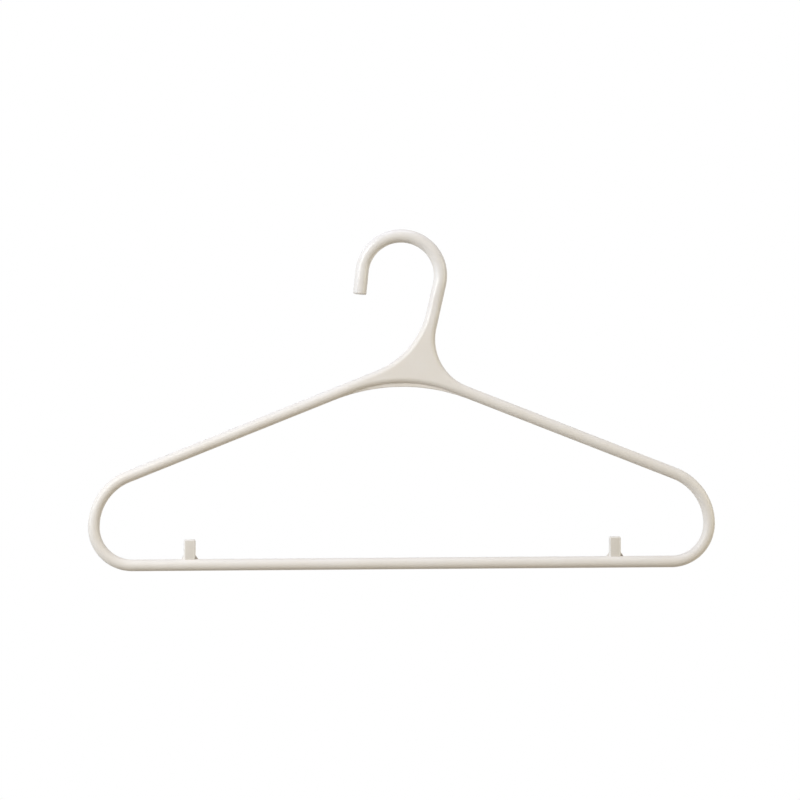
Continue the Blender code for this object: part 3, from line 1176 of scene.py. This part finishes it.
# %% [markdown]
# ## The lamps
#
# The shading of the rods tells where the light came from: brightest and a little cool from the
# left and above, softer and warmer from the right, dim from below. Large softboxes give such
# light, because a small lamp would draw hard lines along the rods. Each was first tried alone,
# so that its share of the light could be seen, and its power and tint were set from that.
#
# One more hangs behind the hanger and lights its back. A lamp behind a satin rod also draws a
# bright rim round it, which the photograph doesn't show. So that lamp is hidden from glossy rays:
# it lights the plastic, but gives it no glare.

# %% Hang the lamps
LIT_POINT = Vector((0.0, 0.0, -0.1))
SOFTBOXES = (
    ("key_softbox", (-1.05, -1.15, 0.65), 1.0, 22.6, (0.98, 0.99, 0.98)),
    ("cool_softbox", (-1.8, -0.5, 0.1), 1.0, 8.2, (0.68, 0.82, 1.0)),
    ("warm_softbox", (1.7, -0.7, 0.2), 1.0, 12.6, (1.0, 0.95, 0.76)),
    ("top_softbox", (0.0, -0.3, 1.6), 1.0, 9.4, (0.73, 0.78, 1.0)),
)
BACK_SOFTBOX = ("back_softbox", (0.3, 1.9, -0.05), 0.7, 25.0, (1.0, 1.0, 1.0))


def hang_softbox(name, place, side, power, colour):
    """A square lamp that faces the hanger."""
    light = bpy.data.lights.new(name, "AREA")
    light.shape = "SQUARE"
    light.size = side
    light.energy = power
    light.color = colour
    lamp = bpy.data.objects.new(name, light)
    lamp.location = place
    aim = LIT_POINT - lamp.location
    lamp.rotation_euler = aim.to_track_quat("-Z", "Y").to_euler()
    bpy.context.scene.collection.objects.link(lamp)
    print(f"{name}: {power:.1f} W, {aim.length:.2f} m away")
    return lamp


for softbox in SOFTBOXES:
    hang_softbox(*softbox)
hang_softbox(*BACK_SOFTBOX).visible_glossy = False

# %% [markdown]
# ## The camera
#
# The two ends of the hanger show at slightly different sizes, and the end of the hook's tip
# shows only as a thin dark line. That puts the camera in front, a degree or two to the left and
# as much below the middle. It is given by what it looks at, its turn, its tilt and the scale of
# the picture at the hanger, from which its lens follows.

# %% Camera
CAMERA_DISTANCE = 1.5
CAMERA_YAW = math.radians(-1.63)
CAMERA_PITCH = math.radians(2.0)
CAMERA_ROLL = math.radians(0.35)
PIXELS_PER_METRE = 1391.5
PHOTO_WIDTH = 800
VIEW_RIGHT = 0.00151
VIEW_UP = -0.0172
TARGET_ABOVE_BAR = 0.100
CAMERA_TARGET = Vector((0.0, 0.0, BAR_Z + TARGET_ABOVE_BAR))
SENSOR_WIDTH = 36.0

camera_data = bpy.data.cameras.new("camera")
camera_data.sensor_width = SENSOR_WIDTH
camera_data.lens = SENSOR_WIDTH * CAMERA_DISTANCE * PIXELS_PER_METRE / PHOTO_WIDTH
camera = bpy.data.objects.new("camera", camera_data)
turned = (
    Matrix.Rotation(CAMERA_YAW, 3, "Z")
    @ Matrix.Rotation(QUARTER + CAMERA_PITCH, 3, "X")
    @ Matrix.Rotation(-CAMERA_ROLL, 3, "Z")
)
camera.rotation_euler = turned.to_euler()
camera.location = CAMERA_TARGET - turned @ Vector((VIEW_RIGHT, VIEW_UP, -CAMERA_DISTANCE))
bpy.context.scene.collection.objects.link(camera)
bpy.context.scene.camera = camera
bpy.context.scene.view_settings.view_transform = "Standard"
print("camera at", camera.location.to_tuple(4), f"lens {camera_data.lens:.1f} mm")
